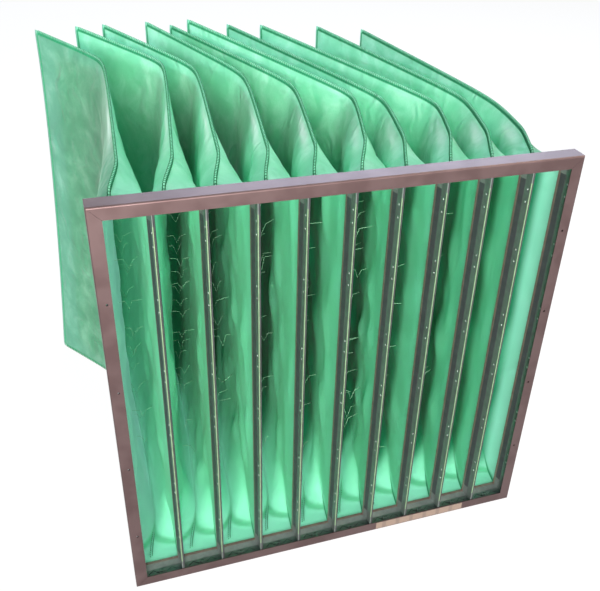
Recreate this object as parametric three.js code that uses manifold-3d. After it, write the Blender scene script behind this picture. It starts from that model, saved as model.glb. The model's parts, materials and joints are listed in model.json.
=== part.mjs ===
// Ten-pocket bag air filter: a galvanised header frame of four mitred channel
// rails, ten crimped pocket frames side by side in it, and a sewn filter bag
// seated in each of them. Millimetres, +Z up, air enters along +Y.
// The origin is under the middle of the bottom rail, at half the header's depth.

import * as THREE from "three";
import { mergeVertices } from "three/addons/utils/BufferGeometryUtils.js";
import Module from "manifold-3d";

// Header frame
const HEADER_SIZE = 592;
const HEADER_DEPTH = 25;
const RAIL_SHEET = 1.0;
const FRONT_FLANGE = 16;
const RAIL_BEND = 2.0;
const BEND_STEPS = 4;
const MITRE_GAP = 0.3;
const PIECE_GAP = 0.3;
const MERGE_DISTANCE = 1e-4;

// Holes in the front flanges of the two side rails
const HOLE_DIAMETER = 3;
const HOLE_COUNT = 4;
const HOLE_PITCH = 124;
const FIRST_HOLE_DROP = 118;
const HOLE_INSET = 10;
const HOLE_SIDES = 12;

// Pocket frames
const POCKETS = 10;
const FRAME_MARGIN = 10;
const FRAME_SHEET = 0.6;
const HEM_GAP = 0.3;
const LEG_FLAT = 13;
const LEG_FLARE = 8;
const LEG_LIP = 4.5;
const NOSE_BEND = 0.4;

// Overlapped and lanced joint in the middle of each pocket frame's bottom strip
const LAP_LENGTH = 24;
const LAP_SHEET = 0.5;
const LANCE_WIDTH = 11;
const LANCE_DEPTH = 5;
const LANCE_LEG = 2.2;
const LANCE_VALLEY = 2.6;
const LANCE_HEIGHT = 1.6;
const LANCE_SETBACK = 4.5;

// Filter bags
const MEDIA = 2.4;
const BAG_LENGTH = 622;
const SEAM_HALF = 1.3;
const SEAM_FLANGE = 8;
const CAVITY_GAP = 0.7;
const SIDE_CURVE = 0.7;
const SEAM_DRIFT = 13;
const SEAM_DRIFT_RUN = 95;
const ROOF_RUN = 150;
const LEFT_BULGE = 1.6;
const RIGHT_BULGE = 0.8;
const RIDGE = 8;
const RIDGE_RUN = 24;
const GABLE_TOP = 160;
const GABLE_TOP_RUN = 300;
const GABLE_TOP_CURVE = 1.5;
const GABLE_BOTTOM = 150;
const GABLE_BOTTOM_RUN = 190;
const GABLE_START = 9;
const FLOOR_CLEARANCE = 0.6;
const DROOP_RUN = 110;
const KNEE_SOFTNESS = 18;
const SPLAY = 36;
const SPLAY_CURVE = 1.5;
const STATIONS = 10;
const STATION_CURVE = 1.35;
const GABLE_STEPS = [0, 0.3, 0.65, 1];

// How each bag hangs, from left to right. Knee is the depth at which it bends, as
// a share of the bag's length. The others are shares of the pockets' pitch: bow is
// how far it swings to the right before it bends, lean where its tail ends from
// the middle of its mouth, and rise how far the tail stands above the mouth.
const HANG_SHARES = [
  { bow: 0.44, knee: 0.741, lean: -1.19, rise: 0.66 },
  { bow: 0.91, knee: 0.680, lean: -1.10, rise: 0.75 },
  { bow: 0.66, knee: 0.637, lean: -1.35, rise: 0.75 },
  { bow: 0.79, knee: 0.574, lean: -1.12, rise: 0.75 },
  { bow: 0.86, knee: 0.502, lean: -1.43, rise: 0.66 },
  { bow: 1.03, knee: 0.397, lean: -1.96, rise: 0.86 },
  { bow: 0.79, knee: 0.387, lean: -1.73, rise: 0.61 },
  { bow: 1.00, knee: 0.342, lean: -1.73, rise: 0.58 },
  { bow: 0.93, knee: 0.368, lean: -0.82, rise: 0.38 },
  { bow: 0.70, knee: 0.344, lean: -0.23, rise: 0.17 },
];

// Sizes that follow from the ones above
const FRONT_Y = -HEADER_DEPTH / 2;
const HEADER_MIDDLE = HEADER_SIZE / 2;
const FRAME_HEIGHT = HEADER_SIZE - 2 * FRAME_MARGIN;
const FRAME_PITCH = FRAME_HEIGHT / POCKETS;
const FRAME_FRONT_Y = FRONT_Y + RAIL_SHEET + PIECE_GAP;
const FRAME_DEPTH = LEG_FLAT + LEG_FLARE + LEG_LIP;
const FRAME_HALF_WIDTH = (FRAME_PITCH - PIECE_GAP) / 2;
const FRAME_HALF_HEIGHT = FRAME_HEIGHT / 2;
const REAR_FLANGE = FRAME_MARGIN - PIECE_GAP;
const MEDIA_INSET = FRAME_SHEET + PIECE_GAP;
const LIP_INSET = MEDIA_INSET + MEDIA + PIECE_GAP;
const MOUTH_Y = FRAME_FRONT_Y + LEG_FLAT + LEG_FLARE;
const SEAT_END_Y = FRAME_FRONT_Y + FRAME_DEPTH + 2;
const MOUTH_HALF_WIDTH = FRAME_HALF_WIDTH - MEDIA_INSET;
const MOUTH_TOP = HEADER_MIDDLE + FRAME_HALF_HEIGHT - MEDIA_INSET;
const MOUTH_BOTTOM = HEADER_MIDDLE - FRAME_HALF_HEIGHT + MEDIA_INSET;
const HANG = HANG_SHARES.map((share) => ({
  bow: share.bow * FRAME_PITCH,
  knee: share.knee * BAG_LENGTH,
  lean: share.lean * FRAME_PITCH,
  rise: share.rise * FRAME_PITCH,
}));

const wasm = await Module();
wasm.setup();

const part = new THREE.Group();
part.name = "bag_air_filter";

const galvanised = { color: 0x93807b, roughness: 0.42, metalness: 0.8 };
const crimpedSteel = { color: 0x4a4d50, roughness: 0.45, metalness: 0.75 };
const filterMedia = { color: 0x58ae80, roughness: 0.9, metalness: 0 };

function addMesh(name, geometry, finish) {
  geometry.computeVertexNormals();
  const mesh = new THREE.Mesh(geometry, new THREE.MeshStandardMaterial(finish));
  mesh.name = name;
  part.add(mesh);
  return mesh;
}

// A closed skin through rings of points, each ring with as many points as the
// next. Each four-cornered patch is split along its shorter diagonal. The first
// and last ring are capped, unless the rings close on themselves.
function loft(rings, looped = false) {
  const count = rings[0].length;
  const points = rings.flat();
  const positions = points.flatMap((point) => [point.x, point.y, point.z]);
  const faces = [];
  const strips = looped ? rings.length : rings.length - 1;
  for (let i = 0; i < strips; i += 1) {
    const near = i * count;
    const far = ((i + 1) % rings.length) * count;
    for (let j = 0; j < count; j += 1) {
      const next = (j + 1) % count;
      const [a, b, c, d] = [near + j, near + next, far + next, far + j];
      if (points[a].distanceTo(points[c]) < points[b].distanceTo(points[d])) {
        faces.push(a, b, c, a, c, d);
      } else {
        faces.push(a, b, d, b, c, d);
      }
    }
  }
  if (!looped) {
    const last = (rings.length - 1) * count;
    for (const [a, b, c] of capTriangles(rings[0])) {
      faces.push(c, b, a);
    }
    for (const [a, b, c] of capTriangles(rings[rings.length - 1])) {
      faces.push(last + a, last + b, last + c);
    }
  }
  const geometry = new THREE.BufferGeometry();
  geometry.setAttribute("position", new THREE.Float32BufferAttribute(positions, 3));
  geometry.setIndex(faces);
  return facingOut(geometry);
}

// Triangles over one flat ring, in the ring's own turning sense.
function capTriangles(ring) {
  const normal = new THREE.Vector3();
  ring.forEach((point, i) => {
    normal.add(new THREE.Vector3().crossVectors(point, ring[(i + 1) % ring.length]));
  });
  normal.normalize();
  const across = new THREE.Vector3().subVectors(ring[1], ring[0]);
  across.addScaledVector(normal, -across.dot(normal)).normalize();
  const along = new THREE.Vector3().crossVectors(normal, across);
  const flat = ring.map((point) => new THREE.Vector2(point.dot(across), point.dot(along)));
  return THREE.ShapeUtils.triangulateShape(flat, []);
}

// Turns every face round if the skin encloses a negative volume.
function facingOut(geometry) {
  const index = geometry.index.array;
  const point = geometry.attributes.position;
  const corners = [new THREE.Vector3(), new THREE.Vector3(), new THREE.Vector3()];
  let volume = 0;
  for (let i = 0; i < index.length; i += 3) {
    corners.forEach((corner, k) => corner.fromBufferAttribute(point, index[i + k]));
    volume += corners[0].dot(corners[1].cross(corners[2]));
  }
  if (volume < 0) {
    for (let i = 0; i < index.length; i += 3) {
      [index[i], index[i + 1]] = [index[i + 1], index[i]];
    }
  }
  return geometry;
}

function toSolid(geometry) {
  const bare = geometry.clone();
  bare.deleteAttribute("normal");
  bare.deleteAttribute("uv");
  const merged = mergeVertices(bare, MERGE_DISTANCE);
  return new wasm.Manifold(new wasm.Mesh({
    numProp: 3,
    vertProperties: new Float32Array(merged.attributes.position.array),
    triVerts: new Uint32Array(merged.index.array),
  }));
}

function toGeometry(solid) {
  const { vertProperties, triVerts } = solid.getMesh();
  const geometry = new THREE.BufferGeometry();
  geometry.setAttribute("position", new THREE.Float32BufferAttribute(vertProperties, 3));
  geometry.setIndex(Array.from(triVerts));
  return geometry;
}

// A bend of the sheet as points about its centre, from one angle to another.
function bendPoints(inset, depth, radius, from, to) {
  return Array.from({ length: BEND_STEPS + 1 }, (_, i) => {
    const angle = from + ((to - from) * i) / BEND_STEPS;
    return [inset + radius * Math.cos(angle), depth + radius * Math.sin(angle)];
  });
}

// Header rails. A profile point holds the inset from the header's outer face and
// the depth from its front face.
function railProfile() {
  const bend = RAIL_BEND;
  const inner = RAIL_BEND - RAIL_SHEET;
  const back = HEADER_DEPTH;
  const [rear, side, front] = [Math.PI / 2, Math.PI, 1.5 * Math.PI];
  return [
    [FRONT_FLANGE, 0],
    ...bendPoints(bend, bend, bend, front, side),
    ...bendPoints(bend, back - bend, bend, side, rear),
    [REAR_FLANGE, back],
    [REAR_FLANGE, back - RAIL_SHEET],
    ...bendPoints(bend, back - bend, inner, rear, side),
    ...bendPoints(bend, bend, inner, side, front),
    [FRONT_FLANGE, RAIL_SHEET],
  ];
}

// One rail along its own X axis, outer face up, its ends cut at 45 degrees.
function railGeometry(holes) {
  const half = HEADER_MIDDLE;
  const rings = [-1, 1].map((end) => railProfile().map(([inset, depth]) => new THREE.Vector3(
    end * (half - inset - MITRE_GAP / 2),
    FRONT_Y + depth,
    half - inset,
  )));
  const rail = loft(rings);
  if (!holes) {
    return rail;
  }
  let solid = toSolid(rail);
  const radius = HOLE_DIAMETER / 2;
  const drill = new THREE.CylinderGeometry(radius, radius, 4 * RAIL_SHEET, HOLE_SIDES);
  for (let i = 0; i < HOLE_COUNT; i += 1) {
    const hole = drill.clone();
    hole.translate(half - FIRST_HOLE_DROP - i * HOLE_PITCH, FRONT_Y, half - HOLE_INSET);
    solid = solid.subtract(toSolid(hole));
  }
  return toGeometry(solid);
}

function addRail(name, turn, holes) {
  const rail = addMesh(name, railGeometry(holes), galvanised);
  rail.position.z = HEADER_MIDDLE;
  rail.rotation.y = turn;
}

// Pocket frames. A profile point holds the inset from the frame's outer face and
// the depth from its nose: outer leg, hem, then the inner leg with its flare.
function frameProfile() {
  const sheet = FRAME_SHEET;
  const inner = sheet + HEM_GAP;
  const nose = inner + sheet;
  const flareEnd = LEG_FLAT + LEG_FLARE;
  return [
    [NOSE_BEND, 0],
    [0, NOSE_BEND],
    [0, FRAME_DEPTH],
    [sheet, FRAME_DEPTH],
    [sheet, sheet],
    [inner, sheet],
    [inner, LEG_FLAT],
    [LIP_INSET, flareEnd],
    [LIP_INSET, FRAME_DEPTH],
    [LIP_INSET + sheet, FRAME_DEPTH],
    [LIP_INSET + sheet, flareEnd],
    [nose, LEG_FLAT],
    [nose, NOSE_BEND],
    [nose - NOSE_BEND, 0],
  ];
}

// The lanced tab of the bottom joint: an M with two legs, pressed up from the strip.
function lanceGeometry(seatZ) {
  const half = LANCE_WIDTH / 2;
  const inside = half - LANCE_LEG;
  const valley = LANCE_DEPTH - LANCE_VALLEY;
  const outline = [
    [-half, 0], [-half, LANCE_DEPTH], [-inside, LANCE_DEPTH], [0, valley],
    [inside, LANCE_DEPTH], [half, LANCE_DEPTH], [half, 0], [inside, 0],
    [inside, LANCE_DEPTH - LANCE_LEG], [0, valley - LANCE_LEG],
    [-inside, LANCE_DEPTH - LANCE_LEG], [-inside, 0],
  ];
  const shape = new THREE.Shape(outline.map(([x, y]) => new THREE.Vector2(x, y)));
  const depth = LANCE_HEIGHT + LAP_SHEET;
  const tab = new THREE.ExtrudeGeometry(shape, { depth, bevelEnabled: false });
  tab.translate(0, FRAME_FRONT_Y + LANCE_SETBACK, seatZ - LAP_SHEET);
  return tab;
}

function frameGeometry() {
  const corners = [[-1, -1], [1, -1], [1, 1], [-1, 1]];
  const rings = corners.map(([sideX, sideZ]) => frameProfile().map(([inset, depth]) => (
    new THREE.Vector3(
      sideX * (FRAME_HALF_WIDTH - inset),
      FRAME_FRONT_Y + depth,
      HEADER_MIDDLE + sideZ * (FRAME_HALF_HEIGHT - inset),
    )
  )));
  const seatZ = HEADER_MIDDLE - FRAME_HALF_HEIGHT + 2 * FRAME_SHEET + HEM_GAP;
  const lap = new THREE.BoxGeometry(LAP_LENGTH, LEG_FLAT - 2 * NOSE_BEND, LAP_SHEET * 2);
  lap.translate(LAP_LENGTH / 2, FRAME_FRONT_Y + LEG_FLAT / 2, seatZ);
  const ring = toSolid(loft(rings, true));
  return toGeometry(ring.add(toSolid(lap)).add(toSolid(lanceGeometry(seatZ))));
}

// Filter bags
function clamp01(value) {
  return Math.min(1, Math.max(0, value));
}

function ease(value) {
  const t = clamp01(value);
  return t * t * (3 - 2 * t);
}

// The bag's middle in plan: it swings straight to the knee, bends softly, and
// leans straight to its tail. It starts at 0 and ends at the lean.
function planAt(hang, y, tailY) {
  const reach = Math.max(0, y - SEAT_END_Y);
  const full = tailY - SEAT_END_Y;
  const knee = FRONT_Y + hang.knee - SEAT_END_Y;
  const slack = (depth) => {
    const swing = (hang.bow * depth) / knee;
    const leaning = hang.bow + ((hang.lean - hang.bow) * (depth - knee)) / (full - knee);
    return (swing + leaning - Math.hypot(swing - leaning, KNEE_SOFTNESS)) / 2;
  };
  const share = reach / full;
  return slack(reach) - slack(0) * (1 - share) - (slack(full) - hang.lean) * share;
}

// The depth of the tail: the cloth's length, less what its two slants take up.
function tailDepth(hang) {
  let tailY = SEAT_END_Y + BAG_LENGTH;
  for (let pass = 0; pass < 6; pass += 1) {
    const kneeY = FRONT_Y + hang.knee;
    const length = Math.hypot(kneeY - SEAT_END_Y, hang.bow)
      + Math.hypot(tailY - kneeY, hang.bow - hang.lean);
    tailY -= length - (BAG_LENGTH - (SEAT_END_Y - MOUTH_Y));
  }
  return tailY;
}

// One upright section of a bag at depth y, as a ring of points. The outer skin
// has inset 0 and the inner skin lies one media thickness inside it. Behind the
// header the seam starts left of the middle, and the roof on each side of it turns
// from a flat gable into a bulge, fuller on the left.
function bagSection(hang, y, tailY, inner) {
  const reach = y - SEAT_END_Y;
  const along = clamp01(reach / (tailY - SEAM_FLANGE - SEAT_END_Y));
  const open = ease(reach / RIDGE_RUN);
  const half = SEAM_HALF + (MOUTH_HALF_WIDTH - SEAM_HALF) * (1 - along) ** SIDE_CURVE;
  const top = MOUTH_TOP + RIDGE * open + (hang.rise - RIDGE) * along;
  const droop = ease(reach / DROOP_RUN);
  const bottom = MOUTH_BOTTOM + (FLOOR_CLEARANCE - MOUTH_BOTTOM) * droop;
  const flange = SEAM_FLANGE * open;
  const topRun = clamp01(reach / GABLE_TOP_RUN);
  const bottomRun = clamp01(reach / GABLE_BOTTOM_RUN);
  const topGable = open * (GABLE_START + (GABLE_TOP - GABLE_START) * topRun ** GABLE_TOP_CURVE);
  const bottomGable = droop * (GABLE_START + (GABLE_BOTTOM - GABLE_START) * bottomRun);
  const drift = -SEAM_DRIFT * (1 - ease(reach / SEAM_DRIFT_RUN));
  const lean = planAt(hang, y, tailY);
  const sidePoints = (sign, bulge) => {
    const power = 1 + bulge * ease(reach / ROOF_RUN);
    const points = [
      ...gablePoints(top, -1, flange, topGable, half, power, inner),
      ...gablePoints(bottom, 1, flange * droop, bottomGable, half, power, inner).reverse(),
    ];
    const widest = Math.max(...points.map(([x]) => x));
    return points.map(([x, z]) => {
      const low = clamp01((MOUTH_TOP - z) / (MOUTH_TOP - MOUTH_BOTTOM));
      const splay = SPLAY * along ** 2 * low ** SPLAY_CURVE;
      return new THREE.Vector3(lean - splay + sign * x + drift * (1 - x / widest), y, z);
    });
  };
  return [...sidePoints(1, RIGHT_BULGE), ...sidePoints(-1, LEFT_BULGE).reverse()];
}

// Half the points from a seam to the full width: the seam's flange, then a gable
// whose height falls with a power of the way out. Direction is -1 down from the top.
function gablePoints(edge, direction, flange, gable, half, power, inner) {
  const out = (step) => 1 - (1 - step) ** power;
  if (!inner) {
    const ring = GABLE_STEPS.map((step) => [
      SEAM_HALF + (half - SEAM_HALF) * out(step),
      edge + direction * (flange + gable * step),
    ]);
    return [[SEAM_HALF / 2, edge], ...ring];
  }
  const share = clamp01((MEDIA + CAVITY_GAP - SEAM_HALF) / (half - SEAM_HALF));
  const start = 1 - (1 - share) ** (1 / power);
  const rim = Math.max(MEDIA, flange + gable * start);
  const reach = Math.max(flange + gable - rim, 0);
  const width = Math.max(half - MEDIA - CAVITY_GAP, 0);
  const ring = GABLE_STEPS.map((step) => [
    CAVITY_GAP + width * out(step),
    edge + direction * (rim + reach * step),
  ]);
  return [[CAVITY_GAP / 2, edge + direction * rim], ...ring];
}

function bagGeometry(hang) {
  const tailY = tailDepth(hang);
  const seamY = tailY - SEAM_FLANGE;
  const kneeY = FRONT_Y + hang.knee;
  const even = Array.from({ length: STATIONS }, (_, i) => (
    SEAT_END_Y + (seamY - SEAT_END_Y) * ((i + 1) / STATIONS) ** STATION_CURVE
  ));
  const steps = [
    ...even.filter((y) => Math.abs(y - kneeY) > KNEE_SOFTNESS),
    ...[-1, 0, 1].map((side) => kneeY + (side * KNEE_SOFTNESS) / 2),
  ].sort((a, b) => a - b);
  const spread = MOUTH_HALF_WIDTH - SEAM_HALF;
  const cavityShare = 1 - ((MEDIA + 2 * CAVITY_GAP) / spread) ** (1 / SIDE_CURVE);
  const cavityY = SEAT_END_Y + (seamY - SEAT_END_Y) * cavityShare;
  const insideSteps = [...steps.filter((y) => y < cavityY - SEAM_FLANGE), cavityY];
  const outside = [MOUTH_Y, SEAT_END_Y, ...steps, tailY].map((y) => bagSection(hang, y, tailY, false));
  const inside = [MOUTH_Y, SEAT_END_Y, ...insideSteps].map((y) => bagSection(hang, y, tailY, true));
  return loft([...inside.reverse(), ...outside]);
}

addRail("top_rail", 0, false);
addRail("right_rail", Math.PI / 2, true);
addRail("bottom_rail", Math.PI, false);
addRail("left_rail", -Math.PI / 2, true);

const pocketFrame = frameGeometry();
HANG.forEach((hang, i) => {
  const number = String(i + 1).padStart(2, "0");
  const x = (i - (POCKETS - 1) / 2) * FRAME_PITCH;
  addMesh(`pocket_frame_${number}`, pocketFrame.clone(), crimpedSteel).position.x = x;
  addMesh(`filter_bag_${number}`, bagGeometry(hang), filterMedia).position.x = x;
});

export default part;
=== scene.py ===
"""Ten-pocket bag air filter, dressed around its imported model.

Metres, +Z up. The header faces -Y, the bags trail towards +Y, and the origin is
under the middle of the bottom rail. Sizes that repeat the model's own are in
millimetres and become metres where a mesh is made.
"""

from __future__ import annotations

import json
import logging
import math
from dataclasses import dataclass, field
from enum import Enum
from typing import Any

import bpy
import numpy as np
from mathutils import Matrix, Vector

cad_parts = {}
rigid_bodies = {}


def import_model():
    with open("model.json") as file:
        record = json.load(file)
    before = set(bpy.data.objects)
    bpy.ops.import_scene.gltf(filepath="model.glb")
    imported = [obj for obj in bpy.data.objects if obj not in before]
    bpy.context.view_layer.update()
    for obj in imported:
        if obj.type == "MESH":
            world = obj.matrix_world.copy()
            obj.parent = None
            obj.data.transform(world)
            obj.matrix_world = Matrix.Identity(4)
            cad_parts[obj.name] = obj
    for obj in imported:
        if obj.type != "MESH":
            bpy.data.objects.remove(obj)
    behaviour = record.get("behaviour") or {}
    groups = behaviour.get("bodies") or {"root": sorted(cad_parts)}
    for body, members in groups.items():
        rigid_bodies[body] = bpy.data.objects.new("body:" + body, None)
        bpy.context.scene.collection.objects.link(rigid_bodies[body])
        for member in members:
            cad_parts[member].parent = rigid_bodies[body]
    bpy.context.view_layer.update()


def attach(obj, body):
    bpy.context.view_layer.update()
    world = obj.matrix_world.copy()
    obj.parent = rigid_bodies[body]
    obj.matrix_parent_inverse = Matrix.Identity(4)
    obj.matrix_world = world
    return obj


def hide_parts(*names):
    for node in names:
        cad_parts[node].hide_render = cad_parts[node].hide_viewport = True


LOG = logging.getLogger("bag_air_filter")
MM = 0.001

Array = np.ndarray
NodeTree = bpy.types.NodeTree
Node = bpy.types.Node
Socket = bpy.types.NodeSocket


def linear(colour: str) -> tuple[float, float, float, float]:
    """Turn an sRGB hex value into a linear colour with full opacity.

    Args:
        colour: Six hex digits after a hash sign.

    Returns:
        Red, green, blue and alpha as Blender's sockets take them.
    """
    parts = (int(colour[i:i + 2], 16) / 255 for i in (1, 3, 5))
    red, green, blue = (
        part / 12.92 if part <= 0.04045 else ((part + 0.055) / 1.055) ** 2.4 for part in parts
    )
    return red, green, blue, 1.0


def add_node(
    tree: NodeTree, kind: str, links: dict[Any, Socket] | None = None,
    values: dict[Any, Any] | None = None, stops: dict[float, str] | None = None, **settings: Any
) -> Node:
    """Add one shader node with its links and settings.

    Args:
        tree: The tree that takes the node.
        kind: The node's type name.
        links: Output sockets of other nodes, by the name or number of the input they feed.
        values: Constants, by the name or number of the input that holds them.
        stops: Hex colours by position, for a node with a colour ramp.
        settings: The node's own properties.

    Returns:
        The new node.
    """
    node = tree.nodes.new(kind)
    for name, value in settings.items():
        setattr(node, name, value)
    for name, value in (values or {}).items():
        node.inputs[name].default_value = value
    for name, source in (links or {}).items():
        tree.links.new(source, node.inputs[name])
    for number, (place, colour) in enumerate((stops or {}).items()):
        ramp = node.color_ramp.elements
        stop = ramp[number] if number < 2 else ramp.new(place)
        stop.position = place
        stop.color = linear(colour)
    return node


def new_material(name: str) -> tuple[bpy.types.Material, NodeTree, Socket]:
    """Start an empty node material.

    Args:
        name: The material's name.

    Returns:
        The material, its node tree and the surface input of its output node.
    """
    material = bpy.data.materials.new(name)
    material.use_nodes = True
    tree = material.node_tree
    tree.nodes.clear()
    output = add_node(tree, "ShaderNodeOutputMaterial")
    return material, tree, output.inputs["Surface"]


def backdrop_rays(tree: NodeTree) -> Socket:
    """Pick out the rays that see the plain backdrop.

    They come from the camera, off a gloss or through glass; the rest see the room's light.

    Args:
        tree: The tree that takes the nodes.

    Returns:
        A socket that gives 1 for such a ray and 0 for the rest.
    """
    rays = add_node(tree, "ShaderNodeLightPath").outputs
    plain = add_node(
        tree, "ShaderNodeMath", {0: rays["Is Camera Ray"], 1: rays["Is Glossy Ray"]},
        operation="MAXIMUM",
    )
    return add_node(
        tree, "ShaderNodeMath", {0: plain.outputs[0], 1: rays["Is Transmission Ray"]},
        operation="MAXIMUM",
    ).outputs[0]


@dataclass(frozen=True)
class HeaderSizes:
    """Sizes of the header and the pocket frames, in millimetres."""

    size: float = 592.0
    depth: float = 25.0
    rail_sheet: float = 1.0
    front_flange: float = 16.0
    gap: float = 0.3
    pockets: int = 10
    frame_margin: float = 10.0
    frame_sheet: float = 0.6
    hem_gap: float = 0.3
    leg_flat: float = 13.0
    leg_flare: float = 8.0
    leg_lip: float = 4.5

    @property
    def frame_height(self) -> float:
        """Height of a pocket frame."""
        return self.size - 2 * self.frame_margin

    @property
    def pitch(self) -> float:
        """Distance from one pocket to the next."""
        return self.frame_height / self.pockets

    @property
    def front(self) -> float:
        """Depth of the header's front face."""
        return -self.depth / 2

    @property
    def frame_front(self) -> float:
        """Depth of the pocket frames' noses."""
        return self.front + self.rail_sheet + self.gap

    @property
    def half_width(self) -> float:
        """Half the width of a pocket frame."""
        return (self.pitch - self.gap) / 2

    @property
    def middle(self) -> float:
        """Height of the header's middle."""
        return self.size / 2

    def pocket_x(self, number: int) -> float:
        """Give the middle of a pocket, numbered from 1 at the left."""
        return (number - (self.pockets + 1) / 2) * self.pitch


@dataclass(frozen=True)
class GalvanisedSheet:
    """Hot-dip galvanised sheet, rolled and folded."""

    # Real zinc is satin, not bright: soft clouds of bloom, and a fine grain that the
    # rolls drew along the strip. The eye gets a dull metal; its warm brown is a painted
    # reflection of bare ground.
    name: str = "galvanised_sheet"
    # Painted reflection: the brown in these two tones stands in for the ground seen in the zinc.
    dark: str = "#594848"
    light: str = "#625151"
    metallic: float = 0.9
    roughness: float = 0.42
    bloom: float = 34 * MM
    # Drawn coarser than the real grain of some 0.1 mm, so that it doesn't flicker.
    grain: float = 1.2 * MM
    along: tuple[float, float, float] = (0.05, 1.0, 0.05)

    def build(self) -> bpy.types.Material:
        """Make the material: cloudy zinc bloom with drawn lines along the strip.

        Returns:
            The material.
        """
        material, tree, surface = new_material(self.name)
        place = add_node(tree, "ShaderNodeTexCoord").outputs["Object"]
        cloud = add_node(
            tree, "ShaderNodeTexNoise", {"Vector": place},
            {"Scale": 1 / self.bloom, "Detail": 2.0, "Roughness": 0.5},
        )
        stretched = add_node(
            tree, "ShaderNodeMapping", {"Vector": place}, {"Scale": self.along},
        )
        drawn = add_node(
            tree, "ShaderNodeTexNoise", {"Vector": stretched.outputs[0]},
            {"Scale": 1 / self.grain, "Detail": 2.0},
        )
        colour = add_node(
            tree, "ShaderNodeValToRGB", {"Fac": cloud.outputs[0]},
            stops={0.40: self.dark, 0.62: self.light},
        )
        rough = add_node(
            tree, "ShaderNodeMapRange", {"Value": drawn.outputs[0]},
            {"To Min": self.roughness - 0.03, "To Max": self.roughness + 0.04},
        )
        bump = add_node(
            tree, "ShaderNodeBump", {"Height": drawn.outputs[0]},
            {"Strength": 0.03, "Distance": 0.1 * MM},
        )
        shader = add_node(
            tree, "ShaderNodeBsdfPrincipled",
            {
                "Base Color": colour.outputs[0], "Roughness": rough.outputs[0],
                "Normal": bump.outputs[0],
            },
            {"Metallic": self.metallic},
        )
        tree.links.new(shader.outputs[0], surface)
        return material


@dataclass(frozen=True)
class CrimpedStrip:
    """Thin galvanised strip, folded over the cloth's edge and crimped."""

    # The pale band along the fold is a painted highlight; behind it the leg is dull, the
    # flare's dark band is painted shade, and the rolled lip has a brown film of drawing oil.
    # The eye gets four thin bands along each frame.
    name: str = "crimped_strip"
    # Painted highlight: the pale band along the nose.
    fold: str = "#7d9878"
    leg: str = "#69726f"
    # Painted shade: the flare's dark band.
    flare_shade: str = "#414347"
    lip: str = "#8a6f6b"
    sizes: HeaderSizes = field(default_factory=HeaderSizes)
    # The bands run from the nose to just behind the lip.
    depth: float = 26.0 * MM
    # The flares along the top and the bottom face the light, and are no darker than a leg.
    flare_margin: float = 30.0
    metallic: float = 0.55
    roughness: float = 0.42
    smudge: float = 9 * MM

    def build(self) -> bpy.types.Material:
        """Make the material: four bands from the fold to the lip, and faint smudges.

        Returns:
            The material.
        """
        material, tree, surface = new_material(self.name)
        place = add_node(tree, "ShaderNodeTexCoord").outputs["Object"]
        split = add_node(tree, "ShaderNodeSeparateXYZ", {"Vector": place})
        front = self.sizes.frame_front * MM
        band = add_node(
            tree, "ShaderNodeMapRange", {"Value": split.outputs["Y"]},
            {"From Min": front, "From Max": front + self.depth},
        )
        # The upright frames take the flare's painted shade; those along the top and the bottom don't.
        upright = add_node(
            tree, "ShaderNodeValToRGB", {"Fac": band.outputs[0]},
            stops={
                0.00: self.fold, 0.03: self.fold, 0.06: self.leg, 0.46: self.leg,
                0.54: self.flare_shade, 0.78: self.flare_shade, 0.84: self.lip,
            },
        )
        level = add_node(
            tree, "ShaderNodeValToRGB", {"Fac": band.outputs[0]},
            stops={0.78: self.leg, 0.84: self.lip},
        )
        above = add_node(
            tree, "ShaderNodeMath", {0: split.outputs["Z"]}, {1: self.flare_margin * MM},
            operation="GREATER_THAN",
        )
        below = add_node(
            tree, "ShaderNodeMath", {0: split.outputs["Z"]},
            {1: (self.sizes.size - self.flare_margin) * MM},
            operation="LESS_THAN",
        )
        between = add_node(
            tree, "ShaderNodeMath", {0: above.outputs[0], 1: below.outputs[0]},
            operation="MULTIPLY",
        )
        banded = add_node(
            tree, "ShaderNodeMix",
            {"Factor": between.outputs[0], 6: level.outputs[0], 7: upright.outputs[0]},
            data_type="RGBA",
        )
        across = add_node(
            tree, "ShaderNodeMath", {0: split.outputs["X"]}, {1: 1 / (self.sizes.pitch * MM)},
            operation="MULTIPLY",
        )
        side = add_node(tree, "ShaderNodeMath", {0: across.outputs[0]}, operation="FRACT")
        # Painted shade: the nose on the left of each pocket takes the flare's dark colour.
        left = add_node(
            tree, "ShaderNodeMath", {0: side.outputs[0]}, {1: 0.5}, operation="LESS_THAN",
        )
        nose = add_node(
            tree, "ShaderNodeMath", {0: band.outputs[0]}, {1: 0.06}, operation="LESS_THAN",
        )
        shaded_nose = add_node(
            tree, "ShaderNodeMath", {0: left.outputs[0], 1: nose.outputs[0]},
            operation="MULTIPLY",
        )
        colour = add_node(
            tree, "ShaderNodeMix", {"Factor": shaded_nose.outputs[0], 6: banded.outputs[2]},
            {7: linear(self.flare_shade)}, data_type="RGBA",
        )
        smudge = add_node(
            tree, "ShaderNodeTexNoise", {"Vector": place},
            {"Scale": 1 / self.smudge, "Detail": 3.0, "Roughness": 0.6},
        )
        shade = add_node(
            tree, "ShaderNodeMapRange", {"Value": smudge.outputs[0]},
            {"From Min": 0.3, "From Max": 0.7, "To Min": 0.82, "To Max": 1.12},
        )
        toned = add_node(
            tree, "ShaderNodeVectorMath", {0: colour.outputs[2], 3: shade.outputs[0]},
            operation="SCALE",
        )
        shader = add_node(
            tree, "ShaderNodeBsdfPrincipled", {"Base Color": toned.outputs[0]},
            {"Metallic": self.metallic, "Roughness": self.roughness},
        )
        tree.links.new(shader.outputs[0], surface)
        return material


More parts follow.
